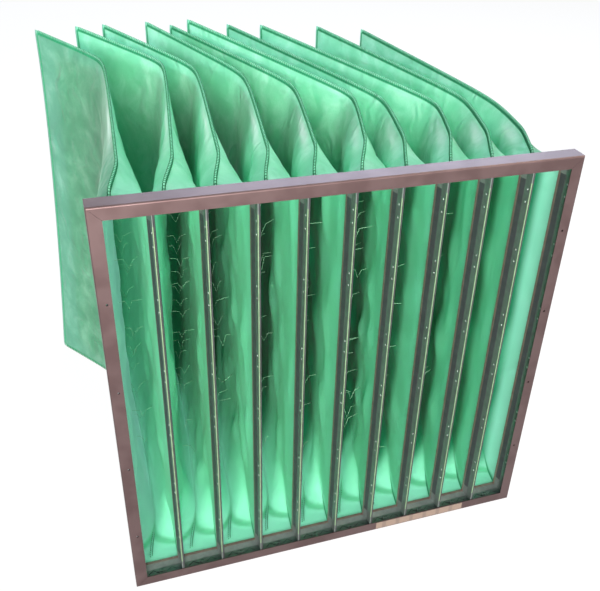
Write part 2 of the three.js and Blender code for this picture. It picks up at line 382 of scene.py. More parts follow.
@dataclass(frozen=True)
class FilterMedia:
    """Thermally bonded synthetic fleece, dyed green."""

    # Real fleece is matt and soft, with a fine nap, and daylight shines through it, so
    # the eye gets bags that glow where one wall stands before another. The cut edge is
    # paler than the face, and the pressed line beside it is darker.
    name: str = "filter_media"
    shade: str = "#84cea8"
    body: str = "#98dab8"
    pale: str = "#b6e8ce"
    # The side that the air enters is a looser, paler layer.
    lining: str = "#96e4ba"
    # Painted shade: halfway in, where the walls hang fuller and out of the light,
    # the lining's green is painted darker.
    lining_shade_colour: str = "#2f9e76"
    # Painted shade: the first bag's outer left wall is darkened and greyed, and the tenth bag's
    # outer right wall takes 0.6 of it.
    worn: str = "#3e6b54"
    # Painted highlight: a white streak beside the seam, which also lets less light through.
    taut: str = "#f2fffa"
    # What shines through: less where the fleece lies thick.
    thick: str = "#b8f4e4"
    glow: str = "#d6fff8"
    edge: str = "#86d3ae"
    stitched: str = "#3aa87c"
    see_through: float = 0.52
    lining_through: float = 0.75
    # Through-light where the painted end wall shade or the painted highlight lies.
    painted_mark_through: float = 0.35
    roughness: float = 0.5
    blotch: float = 46 * MM
    # Drawn coarser than the real fibres of some 0.03 mm, which no picture shows.
    fibre: float = 2.4 * MM
    crease: float = 34 * MM
    # In millimetres from the cut edge: where the pressed line begins and ends, and
    # where the pale rim fades out.
    line_start: tuple[float, float] = (2.2, 3.4)
    line_end: tuple[float, float] = (5.2, 7.4)
    rim_end: tuple[float, float] = (1.6, 3.0)

    def build(self) -> bpy.types.Material:
        """Make the material: mottled fleece, a pale cut edge and a dark pressed stitch line.

        Returns:
            The material.
        """
        material, tree, surface = new_material(self.name)
        place = add_node(tree, "ShaderNodeTexCoord").outputs["Object"]
        blotch = add_node(
            tree, "ShaderNodeTexNoise", {"Vector": place},
            {"Scale": 1 / self.blotch, "Detail": 4.0, "Roughness": 0.62, "Distortion": 0.6},
        )
        fibre = add_node(
            tree, "ShaderNodeTexNoise", {"Vector": place},
            {"Scale": 1 / self.fibre, "Detail": 3.0, "Roughness": 0.7},
        )
        fleck = add_node(
            tree, "ShaderNodeMath", {0: fibre.outputs[0], 2: blotch.outputs[0]}, {1: 0.25},
            operation="MULTIPLY_ADD",
        )
        cloth = add_node(
            tree, "ShaderNodeValToRGB", {"Fac": fleck.outputs[0]},
            stops={0.48: self.shade, 0.63: self.body, 0.80: self.pale},
        )
        inside, deep, worn, taut, depth, fold = (
            add_node(tree, "ShaderNodeAttribute", attribute_name=name).outputs["Fac"]
            for name in ("lining", "deep", "worn", "taut", "seam", "fold")
        )
        cover = add_node(
            tree, "ShaderNodeMapRange", {"Value": fleck.outputs[0]},
            {"From Min": 0.4, "From Max": 0.85, "To Min": 1.0, "To Max": 0.75},
        )
        end_wall_shade_share = add_node(
            tree, "ShaderNodeMath", {0: worn, 1: cover.outputs[0]}, operation="MULTIPLY",
        )
        line_start, line_end, rim_end = (
            add_node(
                tree, "ShaderNodeMapRange", {"Value": depth},
                {"From Min": near, "From Max": far, "To Min": first, "To Max": last},
            )
            for (near, far), first, last in (
                (self.line_start, 0.0, 1.0), (self.line_end, 1.0, 0.0), (self.rim_end, 0.6, 0.0),
            )
        )
        stitch = add_node(
            tree, "ShaderNodeMath", {0: line_start.outputs[0], 1: line_end.outputs[0]},
            operation="MULTIPLY",
        )
        # Painted shade along the lining's lower right crease, in the stitch colour.
        crease_shade = add_node(
            tree, "ShaderNodeMapRange", {"Value": fold}, {"From Min": 0.55, "From Max": 0.95},
        )
        # Painted shade and highlight: the lining's shade, the end walls' shade, the white streak and
        # the crease line.
        face = cloth.outputs[0]
        for share, colour in (
            (inside, self.lining), (deep, self.lining_shade_colour), (end_wall_shade_share.outputs[0], self.worn),
            (taut, self.taut), (rim_end.outputs[0], self.edge),
            (stitch.outputs[0], self.stitched), (crease_shade.outputs[0], self.stitched),
        ):
            face = add_node(
                tree, "ShaderNodeMix", {"Factor": share, 6: face}, {7: linear(colour)},
                data_type="RGBA",
            ).outputs[2]
        creased = add_node(
            tree, "ShaderNodeTexNoise", {"Vector": place},
            {"Scale": 1 / self.crease, "Detail": 4.0, "Roughness": 0.55, "Distortion": 0.8},
            noise_type="RIDGED_MULTIFRACTAL",
        )
        relief = add_node(
            tree, "ShaderNodeMapRange", {"Value": inside}, {"To Min": 0.65, "To Max": 0.15},
        )
        folds = add_node(
            tree, "ShaderNodeBump",
            {"Height": creased.outputs[0], "Strength": relief.outputs[0]}, {"Distance": 8 * MM},
        )
        nap = add_node(
            tree, "ShaderNodeBump", {"Height": fibre.outputs[0], "Normal": folds.outputs[0]},
            {"Strength": 0.25, "Distance": 0.5 * MM},
        )
        fleece = add_node(
            tree, "ShaderNodeBsdfPrincipled",
            {"Base Color": face, "Normal": nap.outputs[0]},
            {"Roughness": self.roughness, "Sheen Weight": 0.1, "Sheen Roughness": 0.4},
        )
        worked = add_node(
            tree, "ShaderNodeMath", {0: creased.outputs[0], 2: fleck.outputs[0]}, {1: 0.16},
            operation="MULTIPLY_ADD",
        )
        evened = add_node(
            tree, "ShaderNodeMath", {0: worked.outputs[0], 1: inside}, operation="ADD",
        )
        thin = add_node(
            tree, "ShaderNodeValToRGB", {"Fac": evened.outputs[0]},
            stops={0.60: self.thick, 0.92: self.glow},
        )
        stitch_and_crease_shade = add_node(
            tree, "ShaderNodeMath", {0: stitch.outputs[0], 1: crease_shade.outputs[0]},
            operation="MAXIMUM",
        )
        # The painted shade of the lining and of its crease darkens what shines through too.
        shine = thin.outputs[0]
        for share, colour in ((deep, self.lining_shade_colour), (stitch_and_crease_shade.outputs[0], self.stitched)):
            shine = add_node(
                tree, "ShaderNodeMix", {"Factor": share, 6: shine}, {7: linear(colour)},
                data_type="RGBA",
            ).outputs[2]
        light = add_node(
            tree, "ShaderNodeBsdfTranslucent",
            {"Color": shine, "Normal": folds.outputs[0]},
        )
        painted_marks = add_node(
            tree, "ShaderNodeMath", {0: worn, 1: taut}, operation="MAXIMUM",
        )
        sheer = add_node(
            tree, "ShaderNodeMapRange", {"Value": inside},
            {"To Min": self.see_through, "To Max": self.lining_through},
        )
        through = add_node(
            tree, "ShaderNodeMapRange",
            {"Value": painted_marks.outputs[0], "To Min": sheer.outputs[0]},
            {"To Max": self.painted_mark_through},
        )
        mixed = add_node(
            tree, "ShaderNodeMixShader",
            {0: through.outputs[0], 1: fleece.outputs[0], 2: light.outputs[0]},
        )
        tree.links.new(mixed.outputs[0], surface)
        return material


@dataclass(frozen=True)
class Thread:
    """Polyester sewing thread."""

    # Real thread is slightly shiny, and its twisted plies show as a faint light and dark.
    name: str
    colour: str
    roughness: float = 0.5
    ply: float = 1.1 * MM

    def build(self) -> bpy.types.Material:
        """Make the material: a twisted thread's light and dark plies.

        Returns:
            The material.
        """
        material, tree, surface = new_material(self.name)
        place = add_node(tree, "ShaderNodeTexCoord").outputs["Object"]
        ply = add_node(
            tree, "ShaderNodeTexNoise", {"Vector": place}, {"Scale": 1 / self.ply, "Detail": 1.0},
        )
        tone = add_node(
            tree, "ShaderNodeMix", {"Factor": ply.outputs[0]},
            {6: linear(self.colour), 7: linear("#b4b4b4")}, data_type="RGBA",
            blend_type="MULTIPLY",
        )
        shader = add_node(
            tree, "ShaderNodeBsdfPrincipled", {"Base Color": tone.outputs[2]},
            {"Roughness": self.roughness},
        )
        tree.links.new(shader.outputs[0], surface)
        return material


@dataclass(frozen=True)
class StickerPaper:
    """Coated paper, printed with plain pale fields only."""

    # A real paper label is flatter and paler than the zinc round it, which sets it off.
    name: str = "sticker_paper"
    paper: str = "#6b5d53"
    ink: str = "#5d5149"
    field_pitch: float = 72 * MM

    def build(self) -> bpy.types.Material:
        """Make the material: pale paper with soft grey fields across it.

        Returns:
            The material.
        """
        material, tree, surface = new_material(self.name)
        place = add_node(tree, "ShaderNodeTexCoord").outputs["Object"]
        fields = add_node(
            tree, "ShaderNodeTexWave", {"Vector": place},
            {"Scale": 1 / self.field_pitch, "Distortion": 0.0},
        )
        colour = add_node(
            tree, "ShaderNodeValToRGB", {"Fac": fields.outputs["Fac"]},
            stops={0.80: self.paper, 0.86: self.ink},
        )
        shader = add_node(
            tree, "ShaderNodeBsdfPrincipled", {"Base Color": colour.outputs[0]},
            {"Roughness": 0.55},
        )
        tree.links.new(shader.outputs[0], surface)
        return material


@dataclass(frozen=True)
class FloorPaint:
    """A studio floor that shows as white, keeps the shadow and bounces an earthy light."""

    # What the floor gives the eye, and a gloss, is a plain white ground with a soft
    # shadow; what it gives the cloth from below is the warm light that bare ground would.
    name: str = "studio_floor"
    shown: str = "#f8f8f7"
    bounced: str = "#c9b0a6"
    lift: float = 0.9

    def build(self) -> bpy.types.Material:
        """Make the material: one paint for what the camera sees and one for the rest.

        Returns:
            The material.
        """
        material, tree, surface = new_material(self.name)
        seen = backdrop_rays(tree)
        colour = add_node(
            tree, "ShaderNodeMix", {"Factor": seen},
            {6: linear(self.bounced), 7: linear(self.shown)}, data_type="RGBA",
        )
        paint = add_node(
            tree, "ShaderNodeBsdfPrincipled", {"Base Color": colour.outputs[2]},
            {"Roughness": 0.9},
        )
        share = add_node(
            tree, "ShaderNodeMath", {0: seen}, {1: self.lift}, operation="MULTIPLY",
        )
        white = add_node(
            tree, "ShaderNodeEmission", values={"Color": (1, 1, 1, 1), "Strength": 1.0},
        )
        mixed = add_node(
            tree, "ShaderNodeMixShader",
            {0: share.outputs[0], 1: paint.outputs[0], 2: white.outputs[0]},
        )
        tree.links.new(mixed.outputs[0], surface)
        return material


def add_object(
    name: str, points: Array, faces: Array, material: bpy.types.Material, smooth: bool = True
) -> bpy.types.Object:
    """Put worked-out points and faces into a new object at the origin.

    Args:
        name: The object's name.
        points: Places in millimetres, one row a point.
        faces: Point numbers, one row a face.
        material: The finish.
        smooth: Whether shading runs smoothly over the faces.

    Returns:
        The object, linked to the scene.
    """
    mesh = bpy.data.meshes.new(name)
    mesh.from_pydata((points * MM).tolist(), [], faces.tolist())
    mesh.polygons.foreach_set("use_smooth", np.full(len(faces), smooth))
    mesh.materials.append(material)
    mesh.update()
    piece = bpy.data.objects.new(name, mesh)
    bpy.context.scene.collection.objects.link(piece)
    return piece


def tubes(paths: Array, radius: float, up: tuple[float, float, float]) -> tuple[Array, Array]:
    """Carry a square profile along many paths at once.

    Each ring is the path's point plus the radius times two directions across the
    path, and both ends are closed by a face.

    Args:
        paths: Places, shaped as paths, points along each, and three.
        radius: Half the thread's thickness.
        up: A direction that no path runs along.

    Returns:
        All points and all four-cornered faces.
    """
    ahead = np.gradient(paths, axis=1)
    ahead /= np.linalg.norm(ahead, axis=-1, keepdims=True) + 1e-12
    across = np.cross(ahead, np.array(up, float))
    across /= np.linalg.norm(across, axis=-1, keepdims=True) + 1e-12
    over = np.cross(ahead, across)
    turn = np.arange(4) * math.pi / 2 + math.pi / 4
    rings = (
        paths[:, :, None, :]
        + radius * np.cos(turn)[None, None, :, None] * across[:, :, None, :]
        + radius * np.sin(turn)[None, None, :, None] * over[:, :, None, :]
    )
    count, length = paths.shape[:2]
    number = np.arange(count * length * 4).reshape(count, length, 4)
    nearby = np.roll(number, -1, axis=2)
    walls = np.stack(
        [number[:, :-1], nearby[:, :-1], nearby[:, 1:], number[:, 1:]], axis=-1,
    ).reshape(-1, 4)
    ends = np.concatenate([number[:, 0, ::-1], number[:, -1]])
    return rings.reshape(-1, 3), np.concatenate([walls, ends])


def ease(value: Array) -> Array:
    """Run smoothly from 0 to 1 as the value does, and stay there outside.

    The curve is three squares less two cubes of the value.

    Args:
        value: Any numbers.

    Returns:
        Numbers from 0 to 1.
    """
    t = np.clip(value, 0.0, 1.0)
    return t * t * (3 - 2 * t)


@dataclass(frozen=True)
class BagHang:
    """How one bag hangs, as the model has it, and where its lining lies in shade.

    The knee's depth is a share of the bag's length, the shade's start a share of
    the knee's depth, and the rest are shares of the pockets' pitch.
    """

    bow: float
    knee: float
    lean: float
    rise: float
    shade: float


HANGS = (
    BagHang(bow=0.44, knee=0.741, lean=-1.19, rise=0.66, shade=0.95),
    BagHang(bow=0.91, knee=0.680, lean=-1.10, rise=0.75, shade=0.84),
    BagHang(bow=0.66, knee=0.637, lean=-1.35, rise=0.75, shade=0.74),
    BagHang(bow=0.79, knee=0.574, lean=-1.12, rise=0.75, shade=0.50),
    BagHang(bow=0.86, knee=0.502, lean=-1.43, rise=0.66, shade=0.42),
    BagHang(bow=1.03, knee=0.397, lean=-1.96, rise=0.86, shade=0.52),
    BagHang(bow=0.79, knee=0.387, lean=-1.73, rise=0.61, shade=0.34),
    BagHang(bow=1.00, knee=0.342, lean=-1.73, rise=0.58, shade=0.38),
    BagHang(bow=0.93, knee=0.368, lean=-0.82, rise=0.38, shade=0.27),
    BagHang(bow=0.70, knee=0.344, lean=-0.23, rise=0.17, shade=0.22),
)


@dataclass(frozen=True)
class BagShape:
    """The form of one sewn bag, in millimetres, the same as the model's solid."""

    hang: BagHang
    sizes: HeaderSizes = field(default_factory=HeaderSizes)
    media: float = 2.4
    length: float = 622.0
    seam_half: float = 1.3
    seam_flange: float = 8.0
    cavity_gap: float = 0.7
    side_curve: float = 0.7
    seam_drift: float = 13.0
    seam_drift_run: float = 95.0
    roof_run: float = 150.0
    left_bulge: float = 1.6
    right_bulge: float = 0.8
    ridge: float = 8.0
    ridge_run: float = 24.0
    gable_top: float = 160.0
    gable_top_run: float = 300.0
    gable_top_curve: float = 1.5
    gable_bottom: float = 150.0
    gable_bottom_run: float = 190.0
    gable_start: float = 9.0
    floor_clearance: float = 0.6
    droop_run: float = 110.0
    knee_softness: float = 18.0
    splay: float = 36.0
    splay_curve: float = 1.5
    stations: int = 100
    gable_points: int = 14
    wall_points: int = 30

    @property
    def mouth(self) -> float:
        """Depth where the cloth's cut edge sits in its pocket frame."""
        return self.sizes.frame_front + self.sizes.leg_flat + self.sizes.leg_flare

    @property
    def seat_end(self) -> float:
        """Depth where the bag leaves its pocket frame."""
        return self.mouth + self.sizes.leg_lip + 2.0

    @property
    def inset(self) -> float:
        """Distance from the pocket frame's outer face to the cloth."""
        return self.sizes.frame_sheet + self.sizes.gap

    @property
    def mouth_half(self) -> float:
        """Half the width of the bag at its mouth."""
        return self.sizes.half_width - self.inset

    @property
    def mouth_top(self) -> float:
        """Height of the mouth's upper edge."""
        return self.sizes.middle + self.sizes.frame_height / 2 - self.inset

    @property
    def mouth_bottom(self) -> float:
        """Height of the mouth's lower edge."""
        return self.sizes.middle - self.sizes.frame_height / 2 + self.inset

    @property
    def bow(self) -> float:
        """How far the bag swings to the right before it bends."""
        return self.hang.bow * self.sizes.pitch

    @property
    def lean(self) -> float:
        """How far the tail ends from the middle of the mouth."""
        return self.hang.lean * self.sizes.pitch

    @property
    def knee(self) -> float:
        """Depth at which the bag bends."""
        return self.sizes.front + self.hang.knee * self.length

    @property
    def tail(self) -> float:
        """Depth of the tail: the cloth's length, less what its two slants take up.

        Returns:
            The depth, after enough rounds for it to settle.
        """
        tail = self.seat_end + self.length
        for _ in range(6):
            run = math.hypot(self.knee - self.seat_end, self.bow)
            run += math.hypot(tail - self.knee, self.bow - self.lean)
            tail -= run - (self.length - (self.seat_end - self.mouth))
        return tail

    def plan(self, y: Array) -> Array:
        """Give the bag's middle in plan: out to the knee, then back to the tail.

        The two straight runs meet in a hyperbola, so the bend is soft, and a
        linear correction brings the start to 0 and the end to the lean.

        Args:
            y: Depths.

        Returns:
            Sideways places.
        """
        reach = np.maximum(0.0, y - self.seat_end)
        full = self.tail - self.seat_end
        knee = self.knee - self.seat_end

        def slack(depth: Array | float) -> Array:
            """Blend the swing out and the lean back.

            Args:
                depth: Distances behind the header.

            Returns:
                Sideways places, before the ends are settled.
            """
            swing = self.bow * depth / knee
            leaning = self.bow + (self.lean - self.bow) * (depth - knee) / (full - knee)
            return (swing + leaning - np.hypot(swing - leaning, self.knee_softness)) / 2

        share = reach / full
        return slack(reach) - slack(0.0) * (1 - share) - (slack(full) - self.lean) * share

    def depth_steps(self, inner: bool) -> Array:
        """Give the depths of the sections, from the mouth to the tail.

        Args:
            inner: Whether they are the inner skin's, which ends before the seam.

        Returns:
            The depths as one row.
        """
        seam = self.tail - self.seam_flange
        start = np.array([self.mouth, (self.mouth + self.seat_end) / 2])
        if not inner:
            steps = np.linspace(self.seat_end, seam, self.stations)
            end = np.array([self.tail - self.seam_flange * 0.5, self.tail])
            return np.concatenate([start, steps, end])
        spread = self.mouth_half - self.seam_half
        share = 1 - ((self.media + 2 * self.cavity_gap) / spread) ** (1 / self.side_curve)
        cavity = self.seat_end + (seam - self.seat_end) * share
        return np.concatenate([start, np.linspace(self.seat_end, cavity, self.stations)])

    def half_at(self, y: Array) -> Array:
        """Give half the bag's width at its fullest height.

        It falls from the mouth to the seam as a power of the way left to the tail.

        Args:
            y: Depths.

        Returns:
            Half widths.
        """
        along = np.clip(
            (y - self.seat_end) / (self.tail - self.seam_flange - self.seat_end), 0.0, 1.0,
        )
        return self.seam_half + (self.mouth_half - self.seam_half) * (1 - along) ** self.side_curve

    def section(self, y: Array, inner: bool) -> tuple[Array, Array]:
        """Work out the upright sections at many depths.

        From each seam a narrow flange stands up, then the cloth spreads over the
        gable's height, and the wall between is straight. Behind the header the
        seam starts left of the middle, and each gable turns from a flat roof
        into a bulge, fuller on the left.

        Args:
            y: Depths.
            inner: Whether to give the inner skin.

        Returns:
            The skin's points, shaped as depths, ring and three, and each point's
            distance from the nearer seam.
        """
        reach = y - self.seat_end
        along = np.clip(reach / (self.tail - self.seam_flange - self.seat_end), 0.0, 1.0)
        open_up = ease(reach / self.ridge_run)
        droop = ease(reach / self.droop_run)
        half = self.half_at(y)
        rise = self.hang.rise * self.sizes.pitch
        top = self.mouth_top + self.ridge * open_up + (rise - self.ridge) * along
        bottom = self.mouth_bottom + (self.floor_clearance - self.mouth_bottom) * droop
        flange = self.seam_flange * open_up
        top_run = np.clip(reach / self.gable_top_run, 0.0, 1.0)
        bottom_run = np.clip(reach / self.gable_bottom_run, 0.0, 1.0)
        top_gable = open_up * (
            self.gable_start + (self.gable_top - self.gable_start) * top_run ** self.gable_top_curve
        )
        bottom_gable = droop * (
            self.gable_start + (self.gable_bottom - self.gable_start) * bottom_run
        )
        drift = -self.seam_drift * (1 - ease(reach / self.seam_drift_run))
        share = np.linspace(0.0, 1.0, self.wall_points + 1)[1:-1]
        middle = self.plan(y)[:, None]
        halves, heights = [], []
        for sign, bulge in ((1.0, self.right_bulge), (-1.0, self.left_bulge)):
            power = 1 + bulge * ease(reach / self.roof_run)
            upper_x, upper_z = self.gable(top, -1.0, flange, top_gable, half, power, inner)
            lower_x, lower_z = self.gable(
                bottom, 1.0, flange * droop, bottom_gable, half, power, inner,
            )
            wall_z = upper_z[:, -1:] + (lower_z[:, -1:] - upper_z[:, -1:]) * share
            wall_x = np.repeat(upper_x[:, -1:], len(share), axis=1)
            x = np.concatenate([upper_x, wall_x, lower_x[:, ::-1]], axis=1)
            z = np.concatenate([upper_z, wall_z, lower_z[:, ::-1]], axis=1)
            low = np.clip((self.mouth_top - z) / (self.mouth_top - self.mouth_bottom), 0.0, 1.0)
            splay = self.splay * along[:, None] ** 2 * low ** self.splay_curve
            seam_shift = drift[:, None] * (1 - x / x.max(axis=1, keepdims=True))
            halves.append(middle - splay + sign * x + seam_shift)
            heights.append(z)
        side_x = np.concatenate([halves[0], halves[1][:, ::-1]], axis=1)
        side_z = np.concatenate([heights[0], heights[1][:, ::-1]], axis=1)
        depth = np.repeat(y[:, None], side_x.shape[1], axis=1)
        seam = np.minimum(top[:, None] - side_z, side_z - bottom[:, None])
        return np.stack([side_x, depth, side_z], axis=-1), np.minimum(seam, self.tail - depth)

    def gable(
        self, edge: Array, way: float, flange: Array, rise: Array, half: Array, power: Array,
        inner: bool,
    ) -> tuple[Array, Array]:
        """Work out half a section from a seam to the full width.

        The way out is 1 - (1 - step) ** power: a flat roof at a power of 1, and
        a fuller bulge the larger it is.

        Args:
            edge: Height of the seam's edge.
            way: -1 down from the upper seam, 1 up from the lower one.
            flange: Height of the seam's flange.
            rise: Height over which the cloth spreads.
            half: Half the width below the gable.
            power: How full the gable is.
            inner: Whether to give the inner skin.

        Returns:
            Distances from the middle, and heights.
        """
        edge, flange, rise, half, power = (
            part[:, None] for part in (edge, flange, rise, half, power)
        )
        step = np.linspace(0.0, 1.0, self.gable_points)[None, :]
        bend = 1 - (1 - step) ** power
        if not inner:
            out = self.seam_half + (half - self.seam_half) * bend
            height = edge + way * (flange + rise * step)
            tip = np.full_like(edge, self.seam_half / 2)
            return np.hstack([tip, out]), np.hstack([edge, height])
        clear = self.media + self.cavity_gap
        share = np.clip(
            (clear - self.seam_half) / np.maximum(half - self.seam_half, 1e-6), 0.0, 1.0,
        )
        start = 1 - (1 - share) ** (1 / power)
        rim = np.maximum(self.media, flange + rise * start)
        reach = np.maximum(flange + rise - rim, 0.0)
        width = np.maximum(half - clear, 0.0)
        out = self.cavity_gap + width * bend
        height = edge + way * (rim + reach * step)
        tip = np.full_like(edge, self.cavity_gap / 2)
        return np.hstack([tip, out]), np.hstack([edge + way * rim, height])


@dataclass
class FilterBag:
    """One sewn filter bag: its cloth, its overlocked seams and its spacer threads."""

    number: int
    media: bpy.types.Material
    seam_thread: bpy.types.Material
    spacer_thread: bpy.types.Material
    sizes: HeaderSizes = field(default_factory=HeaderSizes)
    dent: float = 4.0
    cut_width: float = 620.0
    # The painted highlight lies this far from the seam, and at this share of the knee's depth.
    painted_highlight_seam: tuple[float, float] = (15.0, 6.0)
    painted_highlight_depth: tuple[float, float] = (0.56, 0.18)
    # The shade's length and its two soft ends are shares of the knee's depth.
    shade_length: float = 0.42
    shade_ends: tuple[float, float] = (0.14, 0.16)
    # The painted shade along the lining's lower right crease fades this far behind the header.
    crease_shade_run: float = 70.0
    stitch_pitch: float = 3.8
    stitch_radius: float = 0.5
    stitch_reach: float = 6.0
    thread_radius: float = 0.24
    row_pitch: float = 67.0

    def __post_init__(self) -> None:
        """Settle the bag's shape, place and own run of random numbers."""
        self.shape = BagShape(HANGS[self.number - 1], self.sizes)
        self.x = self.sizes.pocket_x(self.number)
        self.random = np.random.default_rng(100 + self.number)

    @property
    def label(self) -> str:
        """Give the bag's number as the model writes it."""
        return f"{self.number:02d}"

    def dents(self, points: Array, half: Array) -> Array:
        """Press shallow hollows into the cloth.

        The depth is a sum of slanting waves, squared so that broad hollows lie
        between narrow ridges, and it fades at the mouth, the seams and the tail.

        Args:
            points: The outer skin, shaped as depths, ring and three.
            half: Half the bag's width at each depth.

        Returns:
            How far each point moves inwards, one number a point.
        """
        y, z = points[..., 1], points[..., 2]
        waves = np.zeros_like(y)
        for _ in range(9):
            length = self.random.uniform(45.0, 150.0)
            angle = self.random.uniform(-1.1, 1.1)
            phase = self.random.uniform(0.0, 2 * math.pi)
            run = y * math.cos(angle) + z * math.sin(angle)
            side = np.where(np.arange(y.shape[1]) < y.shape[1] / 2, 0.0, 1.9)
            waves += np.sin(run * 2 * math.pi / length + phase + side[None, :])
        depth = (waves / 9 * 1.6 + 0.5) ** 2
        fade = ease((y - self.shape.seat_end - 6) / 60) * np.clip((half[:, None] - 5) / 16, 0, 1)
        return self.dent * np.clip(depth, 0.0, 1.6) * fade

    def cloth(self) -> bpy.types.Object:
        """Build the bag's cloth as one closed shell with an inner and an outer skin.

        Both skins are grids of depths and rings. The same hollows are pressed into
        both along their normals, and strips of faces join them at the mouth and the tail.

        Returns:
            The cloth, with its attributes and its woven UV map.
        """
        shape = self.shape
        skins, seams, weaves = [], [], []
        for inner in (True, False):
            y = shape.depth_steps(inner)
            ring, seam = shape.section(y, inner)
            across = np.gradient(ring, axis=1)
            along = np.gradient(ring, axis=0)
            normal = np.cross(along, across)
            normal /= np.linalg.norm(normal, axis=-1, keepdims=True) + 1e-9
            middle = ring.mean(axis=1, keepdims=True)
            facing = np.sign(np.sum((ring - middle) * normal, axis=-1, keepdims=True))
            state = self.random.bit_generator.state
            press = self.dents(ring, shape.half_at(y))
            if inner:
                self.random.bit_generator.state = state
            fade = ease((seam - 10) / 40)
            ring = ring - normal * facing * (press * fade)[..., None]
            skins.append(ring[::-1] if inner else ring)
            seams.append(np.full_like(seam, 50.0) if inner else seam)
            weaves.append(np.stack([ring[..., 1], ring[..., 2]], axis=-1))
            if inner:
                seams[-1] = seams[-1][::-1]
                weaves[-1] = weaves[-1][::-1]
        grid = np.concatenate(skins)
        rows, count = grid.shape[:2]
        number = np.arange(rows * count).reshape(rows, count)
        nearby = np.roll(number, -1, axis=1)
        walls = np.stack([number[:-1], nearby[:-1], nearby[1:], number[1:]], axis=-1)
        walls = walls.reshape(-1, 4)
        i = np.arange(count // 2 - 1)
        first = np.stack([i + 1, i, count - 1 - i, count - 2 - i], axis=-1)
        last = first[:, ::-1] + (rows - 1) * count
        faces = np.concatenate([walls, first, last])
        points = grid.reshape(-1, 3) + np.array([self.x, 0.0, 0.0])
        corners = points[faces]
        volume = np.sum(corners[:, 0] * np.cross(corners[:, 1], corners[:, 2]))
        volume += np.sum(corners[:, 0] * np.cross(corners[:, 2], corners[:, 3]))
        if volume < 0:
            faces = faces[:, ::-1]
        piece = add_object(f"bag_cloth_{self.label}", points, faces, self.media)
        seam = np.concatenate(seams).ravel()
        inside = np.arange(len(points)) < skins[0].size // 3
        left = ~inside & (np.arange(len(points)) % count >= count // 2)
        # Painted shade: the first bag's outer left wall, and 0.6 of it on the tenth bag's outer right
        # wall.
        worn = np.select([self.number == 1, self.number == 10], [left, 0.6 * ~(left | inside)], 0.0)
        depth = points[:, 1] / shape.knee
        # Painted highlight: a white streak beside the seam on the outer left wall, half as strong
        # from the sixth bag on.
        beside, width = self.painted_highlight_seam
        behind, length = self.painted_highlight_depth
        highlight_share = np.exp(-(((seam - beside) / width) ** 2) - ((depth - behind) / length) ** 2)
        corner = shape.gable_points + shape.wall_points
        # Painted shade on the right half of the lining, over a band of the knee's depth.
        rise, fall = self.shade_ends
        shade = ease((depth - shape.hang.shade) / rise)
        shade *= 1 - ease((depth - min(1.0, shape.hang.shade + self.shade_length)) / fall)
        # Painted shade along the crease where the lining's right wall meets its floor.
        fold = inside & (np.arange(len(points)) % count == corner)
        for name, value in (
            ("seam", seam), ("lining", inside), ("worn", worn * np.ones(len(points))),
            ("deep", (inside & (np.arange(len(points)) % count < count // 2)) * shade),
            ("fold", fold * ease(1.4 - (points[:, 1] - shape.seat_end) / self.crease_shade_run)),
            ("taut", highlight_share * left * (1.0 if self.number < 6 else 0.5)),
        ):
            spread = piece.data.attributes.new(name, "FLOAT", "POINT")
            spread.data.foreach_set("value", value.astype(float))
        weave = np.concatenate(weaves).reshape(-1, 2) * MM
        layer = piece.data.uv_layers.new(name="cloth")
        layer.data.foreach_set("uv", weave[faces.ravel()].ravel())
        return piece

    def seam_points(self, low: bool) -> Array:
        """Give the edge of the upper or lower seam from the header to the tail.

        Args:
            low: Whether to follow the lower seam.

        Returns:
            One point a stitch.
        """
        shape = self.shape
        length = shape.tail - shape.seat_end - 16
        count = int(length / self.stitch_pitch)
        y = np.linspace(shape.seat_end + 8, shape.tail - 8, count)
        ring, _ = shape.section(y, False)
        side = ring.shape[1] // 2
        pick = side - 1 if low else 0
        edge = (ring[:, pick] + ring[:, -1 - pick]) / 2
        return edge + np.array([self.x, 0.0, 0.0])

    def stitches(self) -> bpy.types.Object:
        """Sew both seams: a slanting thread over the edge at each stitch.

        Each stitch is a short path that climbs one side of the flange, crosses
        its edge and comes down the other side, a pitch further on.

        Returns:
            The stitches of both seams.
        """
        paths = []
        for low in (False, True):
            edge = self.seam_points(low)
            down = 1.0 if low else -1.0
            step = np.gradient(edge, axis=0)
            reach = self.stitch_reach
            side = self.shape.seam_half + 0.25
            corners = [(-side, reach, -0.5), (-side, 0.5, -0.1), (0.0, -0.4, 0.0),
                       (side, 0.5, 0.1), (side, reach, 0.5)]
            stitch = [
                edge + step * ahead + np.array([across, 0.0, down * drop])
                for across, drop, ahead in corners
            ]
            paths.append(np.stack(stitch, axis=1))
        points, faces = tubes(np.concatenate(paths), self.stitch_radius, (0.0, 1.0, 0.0))
        return add_object(f"bag_stitches_{self.label}", points, faces, self.seam_thread)

